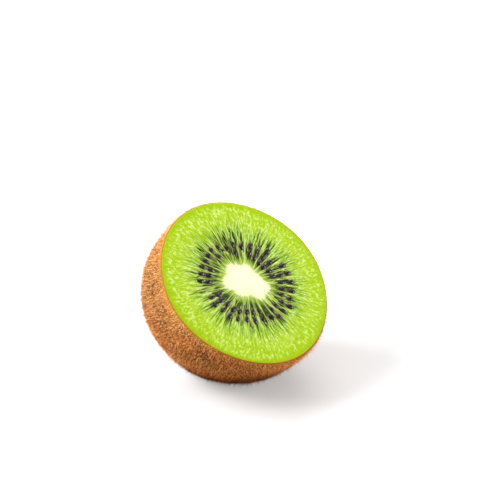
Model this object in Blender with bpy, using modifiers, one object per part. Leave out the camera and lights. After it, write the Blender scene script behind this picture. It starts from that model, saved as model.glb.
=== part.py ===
"""Kiwi fruit half: one half of a fruit cut across its middle, lying on its skin with the cut face turned up.

Metres, +Z up. The fruit is round about its own long axis, which is local Z of the empty "cut_middle". The cut face
lies in the empty's plane z = 0 and the round end is below it. The empty tips the half over, and a small flat spot
in the skin is what it lies on. The origin is on the table, under the middle of the half's bounding box.

Two solids: "flesh" is the skin, the green flesh and the seeds in one piece, with a socket down its middle, and
"core" is the pale column that fills the socket.
"""
import math
import random

import bmesh
import bpy
from mathutils import Matrix

# The half as a whole
RIM_RADIUS = 0.0250
HALF_LENGTH = 0.0304
DOME_POWER = 2.345          # 2 is an ellipse, more is squarer
TILT = math.radians(39.5)   # of the long axis from upright
FLAT_DEPTH = 0.0009         # how far the flat spot cuts into the skin

# Unevenness of the outline, as (waves round the rim, height, angle of a crest)
RIM_WAVES = (
    (3, 0.00006, math.radians(-77.0)),
    (4, 0.00019, math.radians(9.0)),
)
DOME_LUMP = 0.00018
DOME_LUMP_WAVES = 5
BULGE = 0.0012              # a fuller cheek on one side of the fruit
BULGE_ANGLE = math.radians(141.0)
BULGE_SPREAD = math.radians(34.0)

# The cut face
RIM_ROUNDING = 0.0004
FACE_RINGS = 8
FACE_START = 0.0035
LOCULES = 32                # the chambers round the core that hold the seeds
LOCULE_TURN = math.radians(3.7)     # of the first chamber
LOCULE_WAVES = (            # how the chambers crowd, as (waves round the axis, shift, angle of a crest)
    (1, math.radians(2.8), math.radians(100.0)),
    (2, math.radians(1.9), math.radians(-78.0)),
)
LOCULE_DIP = 0.00022
LOCULE_MIDDLE = 0.0112
LOCULE_SPREAD = 0.0042
FACE_SWELL = 0.00025        # of the outer flesh over the plane of the cut

# The pale core: its outline at the cut as (angle about the axis, distance from the axis)
CORE_OUTLINE = (
    (22.0, 0.0046),
    (53.0, 0.0058),
    (71.0, 0.0052),
    (118.0, 0.0068),
    (138.0, 0.0064),
    (166.0, 0.0074),
    (200.0, 0.0057),
    (218.0, 0.0056),
    (253.0, 0.0047),
    (288.0, 0.0072),
    (302.0, 0.0069),
    (326.0, 0.0076),
    (350.0, 0.0056),
)
CORE_RADIUS = 0.0060
CORE_DEPTH = 0.0220
CORE_CROWN = 0.00025
CORE_POWER = 2.4
CORE_GAP = 0.00035
CORE_LOBES_KEPT = 0.45      # how much of the lobes is left at the core's deep end
SOCKET_ABOVE = 0.0020

# Seeds
SEED_LENGTH = 0.0025
SEED_WIDTH = 0.0016
SEED_THICKNESS = 0.0012
SEED_RISE = 0.00048         # of a seed's back over the cut
SEED_TAPER = 0.42           # narrowing of the end that points at the core
SEED_PITCH = 0.0024
SEED_FROM_CORE = 0.0031
SEED_OUTER = 0.0125
SEED_OUTER_WAVES = (        # unevenness of the outer row, as (waves round the axis, height, angle of a crest)
    (1, 0.0005, math.radians(-82.0)),
    (2, 0.0011, math.radians(-21.0)),
)
SEED_SKIPPED = 0.08
SEED_DRAW = 29997

# The dry scar at the round end
SCAR_RADIUS = 0.0023
SCAR_HEIGHT = 0.0008

# Facets
TURN_STEPS = 96
CORE_STEPS = 64
DOME_STEPS = 15
RIM_STEPS = 3
MERGE_DISTANCE = 0.0001
STRAY_DISTANCE = 0.000004
TABLE_SIZE = 0.080


def new_collection(name):
    """A collection in the scene."""
    collection = bpy.data.collections.new(name)
    bpy.context.scene.collection.children.link(collection)
    return collection


def material(name, colour, roughness):
    """A plain surface of one colour."""
    result = bpy.data.materials.new(name)
    result.use_nodes = True
    shader = result.node_tree.nodes["Principled BSDF"]
    shader.inputs["Base Color"].default_value = (*colour, 1.0)
    shader.inputs["Roughness"].default_value = roughness
    shader.inputs["Metallic"].default_value = 0.0
    return result


def place(obj, collection, parent=None):
    """Puts an object in its collection, under its parent."""
    collection.objects.link(obj)
    obj.parent = parent
    return obj


def settled_mesh(obj):
    """A plain mesh of the object as its modifiers leave it."""
    bpy.context.view_layer.update()
    graph = bpy.context.evaluated_depsgraph_get()
    return bpy.data.meshes.new_from_object(obj.evaluated_get(graph))


def bake(obj):
    """Swaps an object's mesh for what its modifiers make of it."""
    raw = obj.data
    obj.data = settled_mesh(obj)
    obj.modifiers.clear()
    bpy.data.meshes.remove(raw)


def flatten_faces(mesh):
    """Cuts every face into triangles, which are always flat, and closes up stray points."""
    shape = bmesh.new()
    shape.from_mesh(mesh)
    bmesh.ops.remove_doubles(shape, verts=shape.verts, dist=STRAY_DISTANCE)
    bmesh.ops.triangulate(shape, faces=shape.faces)
    shape.to_mesh(mesh)
    shape.free()


def turned(name, profile, steps):
    """A solid turned about local Z from a profile of (radius, height) points, listed from the top down."""
    mesh = bpy.data.meshes.new(name)
    points = [(radius, 0.0, height) for radius, height in profile]
    edges = [(i, i + 1) for i in range(len(points) - 1)]
    mesh.from_pydata(points, edges, [])
    obj = bpy.data.objects.new(name, mesh)
    bpy.context.scene.collection.objects.link(obj)
    screw = obj.modifiers.new("turn", "SCREW")
    screw.steps = steps
    screw.render_steps = steps
    screw.use_merge_vertices = True
    screw.merge_threshold = MERGE_DISTANCE
    bake(obj)
    bpy.context.scene.collection.objects.unlink(obj)
    return obj


def eased(points, degrees):
    """A value read round a closed list of (angle, value) points, eased between neighbours."""
    degrees = degrees % 360.0
    for i, (end, value) in enumerate(points):
        start, before = points[i - 1]
        span = (end - start) % 360.0
        along = (degrees - start) % 360.0
        if along <= span:
            share = (1.0 - math.cos(math.pi * along / span)) / 2.0
            return before + (value - before) * share
    return points[0][1]


def wavy(waves, angle):
    """The sum of a list of (count, height, crest) waves at an angle."""
    return sum(height * math.cos(count * (angle - crest)) for count, height, crest in waves)


def core_reach(angle):
    """How far the core reaches from the axis at the cut, for an angle about the axis."""
    return eased(CORE_OUTLINE, math.degrees(angle))


def locule_angle(number):
    """Angle of a chamber about the axis: evenly spaced but for the crowding."""
    even = LOCULE_TURN + 2.0 * math.pi * number / LOCULES
    angle = even
    for _ in range(4):
        angle = even + wavy(LOCULE_WAVES, angle)
    return angle


def locule_phase(angle):
    """How far round the chambers an angle is: a whole turn for each chamber, and 0 at a chamber's middle."""
    return LOCULES * (angle - LOCULE_TURN - wavy(LOCULE_WAVES, angle))


def rim_factor(angle):
    """The rim's unevenness, as a factor on the radius."""
    return 1.0 + wavy(RIM_WAVES, angle) / RIM_RADIUS


def dome_swell(angle, height):
    """How far the skin swells past its profile: a fuller cheek and low lumps, none at rim and round end."""
    along = -height / HALF_LENGTH
    fade = math.sin(math.pi * min(1.0, max(0.0, along)))
    wave = math.sin(DOME_LUMP_WAVES * angle + 9.0 * along) + math.sin(3.0 * angle - 13.0 * along)
    off_cheek = math.remainder(angle - BULGE_ANGLE, 2.0 * math.pi) / BULGE_SPREAD
    return fade * (DOME_LUMP * wave / 2.0 + BULGE * math.exp(-off_cheek ** 2))


def face_relief(angle, radius):
    """Height of the cut face over its plane: a dip in each seed chamber, and a swell further out."""
    off_middle = (radius - LOCULE_MIDDLE) / LOCULE_SPREAD
    chamber = (1.0 + math.cos(locule_phase(angle))) / 2.0
    dip = LOCULE_DIP * math.exp(-off_middle ** 2) * chamber
    outer = max(0.0, (radius - LOCULE_MIDDLE) / (RIM_RADIUS - LOCULE_MIDDLE))
    return FACE_SWELL * math.sin(math.pi * min(1.0, outer)) - dip


def half_profile():
    """Outline of the half from the middle of the cut face, over the rim, down to the round end."""
    flat_end = RIM_RADIUS - RIM_ROUNDING
    points = [(0.0, 0.0)]
    for i in range(FACE_RINGS + 1):
        points.append((FACE_START + (flat_end - FACE_START) * i / FACE_RINGS, 0.0))
    for i in range(1, RIM_STEPS + 1):
        turn = math.pi / 2.0 * i / RIM_STEPS
        out = RIM_ROUNDING * math.sin(turn)
        points.append((flat_end + out, -RIM_ROUNDING * (1.0 - math.cos(turn))))
    for i in range(1, DOME_STEPS + 1):
        turn = math.pi / 2.0 * i / DOME_STEPS
        radius = RIM_RADIUS * max(0.0, math.cos(turn)) ** (2.0 / DOME_POWER)
        height = -RIM_ROUNDING - (HALF_LENGTH - RIM_ROUNDING) * math.sin(turn) ** (2.0 / DOME_POWER)
        points.append((radius if i < DOME_STEPS else 0.0, height))
    return points


def core_profile(top):
    """Outline of the core before its lobes: a crowned top, then a long side that closes in."""
    sides = 9
    points = [(0.0, top + CORE_CROWN), (CORE_RADIUS * 0.55, top + CORE_CROWN * 0.8), (CORE_RADIUS, top)]
    for i in range(1, sides + 1):
        turn = math.pi / 2.0 * i / sides
        radius = CORE_RADIUS * max(0.0, math.cos(turn)) ** (2.0 / CORE_POWER)
        height = -CORE_DEPTH * math.sin(turn) ** (2.0 / CORE_POWER)
        points.append((radius if i < sides else 0.0, height))
    return points


def reshape(obj, rule):
    """Moves each point of a mesh by a rule on its angle, radius and height."""
    for vertex in obj.data.vertices:
        angle = math.atan2(vertex.co.y, vertex.co.x)
        radius, height = rule(angle, math.hypot(vertex.co.x, vertex.co.y), vertex.co.z)
        vertex.co = (radius * math.cos(angle), radius * math.sin(angle), height)
    flatten_faces(obj.data)


def half_rule(angle, radius, height):
    """Gives the turned half its uneven rim, its lumps and the relief of its cut face."""
    if height > -RIM_ROUNDING / 2.0 and radius < RIM_RADIUS - RIM_ROUNDING / 2.0:
        height += face_relief(angle, radius)
    fade = 1.0 - min(1.0, max(0.0, -height / HALF_LENGTH))
    factor = 1.0 + (rim_factor(angle) - 1.0) * fade
    return radius * factor + dome_swell(angle, height) * min(1.0, radius / CORE_RADIUS), height


def core_rule(grow):
    """A rule that gives the turned core its lobes, grown outwards by a distance."""
    def rule(angle, radius, height):
        depth = min(1.0, max(0.0, -height / CORE_DEPTH))
        kept = 1.0 - (1.0 - CORE_LOBES_KEPT) * depth
        lobes = 1.0 + (core_reach(angle) / CORE_RADIUS - 1.0) * kept
        deeper = grow * depth
        return radius * (lobes + grow / CORE_RADIUS), height - deeper
    return rule


def seed_places():
    """Each seed as (angle, distance from the axis, swing, size): rows in the chambers, a few left empty."""
    draw = random.Random(SEED_DRAW)
    places = []
    for number in range(LOCULES):
        angle = locule_angle(number) + draw.uniform(-0.025, 0.025)
        distance = SEED_OUTER + wavy(SEED_OUTER_WAVES, angle) + draw.uniform(-0.0007, 0.0007)
        while distance > core_reach(angle) + SEED_FROM_CORE:
            swing = draw.uniform(-0.20, 0.20)
            size = draw.uniform(0.88, 1.08)
            if draw.random() > SEED_SKIPPED:
                places.append((angle + draw.uniform(-0.012, 0.012), distance, swing, size))
            distance -= SEED_PITCH * draw.uniform(1.0, 1.15)
    return places


def seed_mesh():
    """One seed along local X, its narrow end at -X."""
    mesh = bpy.data.meshes.new("seed")
    shape = bmesh.new()
    bmesh.ops.create_uvsphere(shape, u_segments=6, v_segments=4, radius=0.5)
    bmesh.ops.rotate(shape, verts=shape.verts, cent=(0, 0, 0), matrix=Matrix.Rotation(math.pi / 2.0, 3, "Y"))
    for vertex in shape.verts:
        narrow = 1.0 + SEED_TAPER * min(0.0, vertex.co.x) * 2.0
        vertex.co.x *= SEED_LENGTH
        vertex.co.y *= SEED_WIDTH * narrow
        vertex.co.z *= SEED_THICKNESS * narrow
    bmesh.ops.recalc_face_normals(shape, faces=shape.faces)
    shape.to_mesh(mesh)
    shape.free()
    return mesh


def make_half(collection, parent, looks):
    """The skin and flesh as one turned solid, before the socket and the seeds."""
    half = turned("flesh", half_profile(), TURN_STEPS)
    reshape(half, half_rule)
    half.data.materials.append(looks["flesh"])
    half.data.materials.append(looks["skin"])
    for face in half.data.polygons:
        face.material_index = 1 if face.center.z < -RIM_ROUNDING / 2.0 else 0
    return place(half, collection, parent)


def make_core(collection, parent, looks):
    """The pale column, flush with the cut and lobed like a star."""
    core = turned("core", core_profile(0.0), CORE_STEPS)
    reshape(core, core_rule(0.0))
    core.data.materials.append(looks["core"])
    return place(core, collection, parent)


def make_socket(collection, parent):
    """The cutter for the space that the core fills."""
    socket = turned("socket", core_profile(SOCKET_ABOVE), CORE_STEPS)
    reshape(socket, core_rule(CORE_GAP))
    socket.hide_render = True
    socket.display_type = "WIRE"
    return place(socket, collection, parent)


def make_seeds(collection, parent, looks):
    """All the seeds, sunk in the cut face with their backs showing, and the scar at the round end."""
    mesh = seed_mesh()
    mesh.materials.append(looks["seed"])
    for number, (angle, distance, swing, size) in enumerate(seed_places()):
        seed = place(bpy.data.objects.new(f"seed_{number:02d}", mesh), collection, parent)
        sunk = SEED_RISE - SEED_THICKNESS / 2.0 * size + face_relief(angle, distance)
        seed.location = (distance * math.cos(angle), distance * math.sin(angle), sunk)
        seed.rotation_euler = (0.0, 0.0, angle + swing)
        seed.scale = (size, size, size)
    scar = bpy.data.meshes.new("scar")
    shape = bmesh.new()
    bmesh.ops.create_uvsphere(shape, u_segments=12, v_segments=6, radius=SCAR_RADIUS)
    shape.to_mesh(scar)
    shape.free()
    scar.materials.append(looks["seed"])
    button = place(bpy.data.objects.new("scar", scar), collection, parent)
    button.location = (0.0, 0.0, -HALF_LENGTH)
    button.scale = (1.0, 1.0, SCAR_HEIGHT / SCAR_RADIUS)


def combine(target, operation, other=None, group=None):
    """A Boolean of an object with another object or with a whole collection, applied."""
    modifier = target.modifiers.new(operation.lower(), "BOOLEAN")
    modifier.operation = operation
    modifier.solver = "EXACT"
    modifier.material_mode = "TRANSFER"
    if group:
        modifier.operand_type = "COLLECTION"
        modifier.collection = group
    else:
        modifier.object = other
    bake(target)
    flatten_faces(target.data)


def settle(anchor, half):
    """Stands the empty so that the half's flat spot is at z = 0, under the middle of its box."""
    tip = Matrix.Rotation(TILT, 3, "X")
    points = [tip @ vertex.co for vertex in half.data.vertices]
    across = [point.x for point in points]
    along = [point.y for point in points]
    lowest = min(point.z for point in points)
    anchor.rotation_euler = (TILT, 0.0, 0.0)
    anchor.location = (
        -(min(across) + max(across)) / 2.0,
        -(min(along) + max(along)) / 2.0,
        -lowest - FLAT_DEPTH,
    )


def make_table_cutter(collection):
    """A block whose top is the surface that the half lies on."""
    mesh = bpy.data.meshes.new("table_cutter")
    shape = bmesh.new()
    bmesh.ops.create_cube(shape, size=TABLE_SIZE)
    shape.to_mesh(mesh)
    shape.free()
    block = place(bpy.data.objects.new("table_cutter", mesh), collection)
    block.location = (0.0, 0.0, -TABLE_SIZE / 2.0)
    block.hide_render = True
    block.display_type = "WIRE"
    return block


def smooth(obj):
    """Round shading, with the rim and the seeds' edges kept crisp."""
    obj.data.shade_smooth()
    obj.data.set_sharp_from_angle(angle=math.radians(40.0))


def main():
    """Builds the half."""
    for old in list(bpy.data.objects):
        bpy.data.objects.remove(old)
    fruit = new_collection("kiwi_fruit_half")
    cutters = new_collection("cutters")
    seeds = new_collection("seeds")
    looks = {
        "flesh": material("flesh", (0.46, 0.66, 0.06), 0.30),
        "skin": material("skin", (0.36, 0.19, 0.08), 0.85),
        "core": material("core", (0.88, 0.91, 0.66), 0.45),
        "seed": material("seed", (0.018, 0.010, 0.010), 0.25),
    }
    anchor = bpy.data.objects.new("cut_middle", None)
    fruit.objects.link(anchor)
    half = make_half(fruit, anchor, looks)
    settle(anchor, half)
    core = make_core(fruit, anchor, looks)
    socket = make_socket(cutters, anchor)
    make_seeds(seeds, anchor, looks)
    combine(half, "DIFFERENCE", other=socket)
    combine(half, "UNION", group=seeds)
    combine(half, "DIFFERENCE", other=make_table_cutter(cutters))
    for seed in list(seeds.objects):
        bpy.data.objects.remove(seed)
    bpy.data.collections.remove(seeds)
    smooth(half)
    smooth(core)


main()
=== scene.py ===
"""Looks of the kiwi fruit half: wet green flesh, pale core, seeds, brown skin and down, on a plain floor."""
import math
import random

import bpy
from bpy.props import FloatProperty, FloatVectorProperty, IntProperty, PointerProperty
from mathutils import Matrix, Vector, noise


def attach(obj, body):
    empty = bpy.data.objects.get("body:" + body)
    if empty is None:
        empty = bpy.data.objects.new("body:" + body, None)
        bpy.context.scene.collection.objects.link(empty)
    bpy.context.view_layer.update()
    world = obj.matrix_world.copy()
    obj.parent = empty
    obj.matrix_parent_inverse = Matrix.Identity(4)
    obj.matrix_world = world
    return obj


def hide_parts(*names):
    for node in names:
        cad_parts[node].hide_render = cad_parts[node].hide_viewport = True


bl_info = {
    "name": "Kiwi fruit half",
    "version": (1, 0, 0),
    "blender": (4, 5, 0),
    "location": "View3D > Sidebar > Kiwi",
    "description": "Builds the flesh, core, seeds, skin and down of a kiwi fruit half over its solids",
    "category": "Add Mesh",
}

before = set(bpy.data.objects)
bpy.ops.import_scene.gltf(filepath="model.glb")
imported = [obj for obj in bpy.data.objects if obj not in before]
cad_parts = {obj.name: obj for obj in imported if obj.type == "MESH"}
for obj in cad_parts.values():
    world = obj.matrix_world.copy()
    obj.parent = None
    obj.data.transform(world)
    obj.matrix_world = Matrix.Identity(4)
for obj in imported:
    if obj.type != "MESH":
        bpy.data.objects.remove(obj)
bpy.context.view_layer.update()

# The solids' own sizes, in metres. The fruit's long axis is local Z and its cut face is the plane z = 0.
RIM_RADIUS = 0.0250
HALF_LENGTH = 0.0304
DOME_POWER = 2.345
TILT = math.radians(39.5)
RIM_WAVES = (
    (3, 0.00006, math.radians(-77.0)),
    (4, 0.00019, math.radians(9.0)),
)
DOME_LUMP = 0.00018
DOME_LUMP_WAVES = ((5, 9.0), (3, -13.0))
BULGE = 0.0012
BULGE_ANGLE = math.radians(141.0)
BULGE_SPREAD = math.radians(34.0)
RIM_ROUNDING = 0.0004
LOCULES = 32
LOCULE_TURN = math.radians(3.7)
LOCULE_WAVES = (
    (1, math.radians(2.8), math.radians(100.0)),
    (2, math.radians(1.9), math.radians(-78.0)),
)
LOCULE_DIP = 0.00022
LOCULE_MIDDLE = 0.0112
LOCULE_SPREAD = 0.0042
FACE_SWELL = 0.00025
CORE_OUTLINE = (
    (22.0, 0.0046),
    (53.0, 0.0058),
    (71.0, 0.0052),
    (118.0, 0.0068),
    (138.0, 0.0064),
    (166.0, 0.0074),
    (200.0, 0.0057),
    (218.0, 0.0056),
    (253.0, 0.0047),
    (288.0, 0.0072),
    (302.0, 0.0069),
    (326.0, 0.0076),
    (350.0, 0.0056),
)
CORE_RADIUS = 0.0060
CORE_DEPTH = 0.0220
CORE_CROWN = 0.00025
CORE_POWER = 2.4
CORE_LOBES_KEPT = 0.45
SEED_LENGTH = 0.0025
SEED_WIDTH = 0.0016
SEED_THICKNESS = 0.0012
SEED_RISE = 0.00048
SEED_TAPER = 0.42
SEED_PITCH = 0.0024
SEED_FROM_CORE = 0.0031
SEED_OUTER = 0.0125
SEED_OUTER_WAVES = (
    (1, 0.0005, math.radians(-82.0)),
    (2, 0.0011, math.radians(-21.0)),
)
SEED_SKIPPED = 0.08
SEED_DRAW = 29997
SCAR_RADIUS = 0.0023
SCAR_HEIGHT = 0.0008

QUARTER_TURN = math.pi / 2.0

# Fineness of the surfaces
FACE_TURNS = 720
FACE_RINGS = 96
FACE_SOCKET_RINGS = 7
UNDERSIDE_RINGS = 12
CORE_TURNS = 360
CORE_CROWN_RINGS = 36
CORE_SIDE_RINGS = 14
SKIN_TURNS = 480
SKIN_RINGS = 104
SKIN_INNER_RINGS = 24
SKIN_LIP_RINGS = 4

# Fine form, in metres: grains are (share of the relief, grains per metre across and along), and wrinkles are
# (height, wrinkles per metre)
FACE_GRAINS = ((0.8, 1400.0, 700.0), (0.5, 3000.0, 1500.0))
CORE_SLACK = 0.00003
SKIN_THICKNESS = 0.0003
SKIN_INSET = SKIN_THICKNESS * 0.9
SKIN_WRINKLES = ((0.00006, 700.0), (0.00005, 1500.0))
TABLE_CLEARANCE = 0.00002

# Down: its density at the cut and how it thickens per metre from there, and how hairs differ, bend and turn
DOWN_AT_CUT = 0.72
DOWN_THICKENING = -250.0
DOWN_LOWEST = 0.0003
HAIR_SIZES = {2: 0.55, 3: 1.25}
HAIR_BEND = 0.35
HAIR_SPREAD = 0.9
HAIR_SPIN = 6.28
HAIR_TONE_SEED = 7

# Seed chambers, in millimetres: how far from the axis they end, and how that varies
CHAMBER_TIP = 14.6
CHAMBER_TIP_LUCK = 2.4
CHAMBER_TIP_RAGGED = 7.0
# A ramp holds values up to 1, so it holds lengths as shares of this many millimetres
RAMP_SPAN = 10.0

# Screen colours that go with those of the settings. A band's stops are (place, colour).
INNER_FLESH = ((0.26, (0.52, 0.60, 0.17)), (0.44, (0.38, 0.50, 0.05)), (0.60, (0.48, 0.66, 0.02)))
RIM_FLESH = ((0.975, (0.645, 0.765, 0.0)), (1.0, (0.66, 0.72, 0.03)))
FURROW = (0.27, 0.45, 0.01)
PAINTED_WET_GLINT = (0.95, 0.99, 0.80)
JELLY_ROOT = ((0.0, (0.36, 0.45, 0.08)), (0.30, (0.19, 0.27, 0.03)))
JELLY_TIP = (0.19, 0.34, 0.01)
JELLY_FIBRE = (0.10, 0.15, 0.03)
JELLY_GLINT = (0.76, 0.86, 0.42)
CORE_FRINGE = (0.76, 0.85, 0.26)
CORE_FIBRE = (0.96, 0.97, 0.80)
CORE_EDGE = (0.90, 0.94, 0.64)
SEED_BROWN = (0.27, 0.16, 0.14)
SKIN_DARK_SPOT = (0.20, 0.10, 0.04)
SKIN_PALE_SPOT = (0.80, 0.54, 0.30)
SKIN_PAINTED_RIM_LIGHT = (0.70, 0.52, 0.16)
SKIN_LIP = (0.70, 0.44, 0.19)
SCAR_CRUST = ((0.35, (0.17, 0.10, 0.07)), (0.62, (0.45, 0.31, 0.20)))
# Painted shade: the skin and down are darkened towards the table, as stops over shares of this height
LOW_SHADE_HEIGHT = 0.030
LOW_SHADE = (
    (0.15, (0.50, 0.33, 0.18)),
    (0.20, (0.70, 0.53, 0.35)),
    (0.26, (0.88, 0.73, 0.56)),
    (0.33, (0.97, 0.87, 0.76)),
    (0.50, (0.93, 0.84, 0.74)),
    (0.66, (0.98, 0.90, 0.82)),
    (0.85, (1.0, 1.0, 1.0)),
)

# The stage: soft lights as (name, offset from the fruit, side, power), and the floor
LIGHTS = (
    ("top_light", (0.0, 0.06, 0.85), 0.55, 1.1),
    ("left_light", (-0.50, 0.52, 0.46), 0.60, 17.5),
    ("right_light", (0.54, -0.42, 0.13), 0.24, 3.5),
    ("back_light", (0.45, 0.55, 0.46), 0.60, 5.6),
)
LIGHT_TARGET = (0.0, 0.0, 0.02)
SURROUND = 0.50
FLOOR_HALF_WIDTH = 3.0
FLOOR_GREY = (0.44, 0.44, 0.44, 1.0)
FLOOR_GLOW = (1.0, 0.955, 0.935, 1.0)
FLOOR_GLOW_STRENGTH = 0.35

# The photograph's view: the middle and half width of the cut face in its 480 pixel frame
IMAGE_PIXELS = 480
CUT_PIXEL = (245.8, 281.2)
CUT_HALF_WIDTH_PIXELS = 91.07
CUT_HALF_WIDTH = 0.0246
VIEW_AZIMUTH = math.radians(-41.6)
VIEW_ELEVATION = math.radians(25.0)
SENSOR_WIDTH = 36.0


def cut_middle():
    """The middle of the cut face in the frame, found from the crown of the core's solid."""
    axis = Matrix.Rotation(TILT, 3, "X") @ Vector((0.0, 0.0, 1.0))
    crown = max((vertex.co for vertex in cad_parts["core"].data.vertices), key=axis.dot)
    return crown - axis * CORE_CROWN


CUT_MIDDLE = cut_middle()
FRUIT_PLACE = Matrix.Translation(CUT_MIDDLE) @ Matrix.Rotation(TILT, 4, "X")


# Form

def eased(points, degrees):
    """A value read round a closed list of (angle, value) points, eased between neighbours."""
    degrees = degrees % 360.0
    for i, (end, value) in enumerate(points):
        start, before = points[i - 1]
        span = (end - start) % 360.0
        along = (degrees - start) % 360.0
        if along <= span:
            share = (1.0 - math.cos(math.pi * along / span)) / 2.0
            return before + (value - before) * share
    return points[0][1]


def wavy(waves, angle):
    """The sum of a list of (count, height, crest) waves at an angle."""
    return sum(height * math.cos(count * (angle - crest)) for count, height, crest in waves)


def core_reach(angle):
    """How far the core reaches from the axis at the cut."""
    return eased(CORE_OUTLINE, math.degrees(angle))


def locule_angle(number):
    """Angle of a seed chamber about the axis."""
    even = LOCULE_TURN + 2.0 * math.pi * number / LOCULES
    angle = even
    for _ in range(4):
        angle = even + wavy(LOCULE_WAVES, angle)
    return angle


def locule_phase(angle):
    """How far round the chambers an angle is: a whole turn for each chamber, and 0 at a chamber's middle."""
    return LOCULES * (angle - LOCULE_TURN - wavy(LOCULE_WAVES, angle))


def rim_factor(angle):
    """The rim's unevenness, as a factor on the radius."""
    return 1.0 + wavy(RIM_WAVES, angle) / RIM_RADIUS


def dome_swell(angle, height):
    """How far the skin swells past its profile."""
    along = -height / HALF_LENGTH
    fade = math.sin(math.pi * min(1.0, max(0.0, along)))
    wave = sum(math.sin(count * angle + twist * along) for count, twist in DOME_LUMP_WAVES)
    off_cheek = math.remainder(angle - BULGE_ANGLE, 2.0 * math.pi) / BULGE_SPREAD
    return fade * (DOME_LUMP * wave / 2.0 + BULGE * math.exp(-off_cheek ** 2))


def face_relief(angle, radius):
    """Height of the cut face over its plane."""
    off_middle = (radius - LOCULE_MIDDLE) / LOCULE_SPREAD
    chamber = (1.0 + math.cos(locule_phase(angle))) / 2.0
    dip = LOCULE_DIP * math.exp(-off_middle ** 2) * chamber
    outer = max(0.0, (radius - LOCULE_MIDDLE) / (RIM_RADIUS - LOCULE_MIDDLE))
    return FACE_SWELL * math.sin(math.pi * min(1.0, outer)) - dip


def dome_point(angle, turn, inset=0.0):
    """A point (radius, height) of the round skin: turn is 0 at the rim, a quarter circle at the round end."""
    radius = RIM_RADIUS * max(0.0, math.cos(turn)) ** (2.0 / DOME_POWER)
    height = -RIM_ROUNDING - (HALF_LENGTH - RIM_ROUNDING) * math.sin(turn) ** (2.0 / DOME_POWER)
    fade = 1.0 - min(1.0, -height / HALF_LENGTH)
    factor = 1.0 + (rim_factor(angle) - 1.0) * fade
    swell = dome_swell(angle, height) * min(1.0, radius / CORE_RADIUS)
    shrink = 1.0 - inset / RIM_RADIUS
    return (radius * factor + swell) * shrink, height * shrink


def seed_places():
    """Each seed as (angle, distance from the axis, swing, size), as in the solids."""
    draw = random.Random(SEED_DRAW)
    places = []
    for number in range(LOCULES):
        angle = locule_angle(number) + draw.uniform(-0.025, 0.025)
        distance = SEED_OUTER + wavy(SEED_OUTER_WAVES, angle) + draw.uniform(-0.0007, 0.0007)
        while distance > core_reach(angle) + SEED_FROM_CORE:
            swing = draw.uniform(-0.20, 0.20)
            size = draw.uniform(0.88, 1.08)
            if draw.random() > SEED_SKIPPED:
                places.append((angle + draw.uniform(-0.012, 0.012), distance, swing, size))
            distance -= SEED_PITCH * draw.uniform(1.0, 1.15)
    return places


def fibre_noise(angle, radius, across, along):
    """Noise from -1 to 1 with grains stretched along the radius: across and along are grains per metre."""
    ring = 0.016 * across
    return noise.noise(Vector((math.cos(angle) * ring, math.sin(angle) * ring, radius * along)))


def closed_rings(name, rings, first, last):
    """A closed mesh from rings of points between two poles, listed so that its faces point outwards."""
    points = [first, *(point for ring in rings for point in ring), last]
    steps = len(rings[0])
    pairs = [(i, (i + 1) % steps) for i in range(steps)]
    faces = [(0, 1 + i, 1 + j) for i, j in pairs]
    for row in range(len(rings) - 1):
        near = 1 + row * steps
        far = near + steps
        faces.extend((near + i, far + i, far + j, near + j) for i, j in pairs)
    base = 1 + (len(rings) - 1) * steps
    faces.extend((base + i, len(points) - 1, base + j) for i, j in pairs)
    mesh = bpy.data.meshes.new(name)
    mesh.from_pydata(points, [], faces)
    mesh.shade_smooth()
    return mesh


def angles_round(turns):
    """The angles of evenly spaced points round the axis."""
    return [2.0 * math.pi * i / turns for i in range(turns)]


def polar(angle, radius, height):
    """A point from its angle about the axis, radius and height."""
    return (radius * math.cos(angle), radius * math.sin(angle), height)


def rest_on_table(mesh):
    """Presses flat what would reach below the table."""
    for vertex in mesh.vertices:
        vertex.co.z = max(vertex.co.z, TABLE_CLEARANCE)


def new_object(name, data):
    """An object in the scene."""
    made = bpy.data.objects.new(name, data)
    bpy.context.scene.collection.objects.link(made)
    return made


def add_piece(name, mesh, material, node):
    """Links a finished mesh as a piece that rides on the fruit and stands for a node of the solids."""
    mesh.materials.clear()
    mesh.materials.append(material)
    piece = new_object(name, mesh)
    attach(piece, "root")
    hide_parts(node)


# Node trees

def linear(colour):
    """A screen colour as the linear one that shaders use."""
    return tuple(c / 12.92 if c <= 0.04045 else ((c + 0.055) / 1.055) ** 2.4 for c in colour)


def paint(colour):
    """A screen colour as the value of a colour socket."""
    return (*linear(colour), 1.0)


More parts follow.
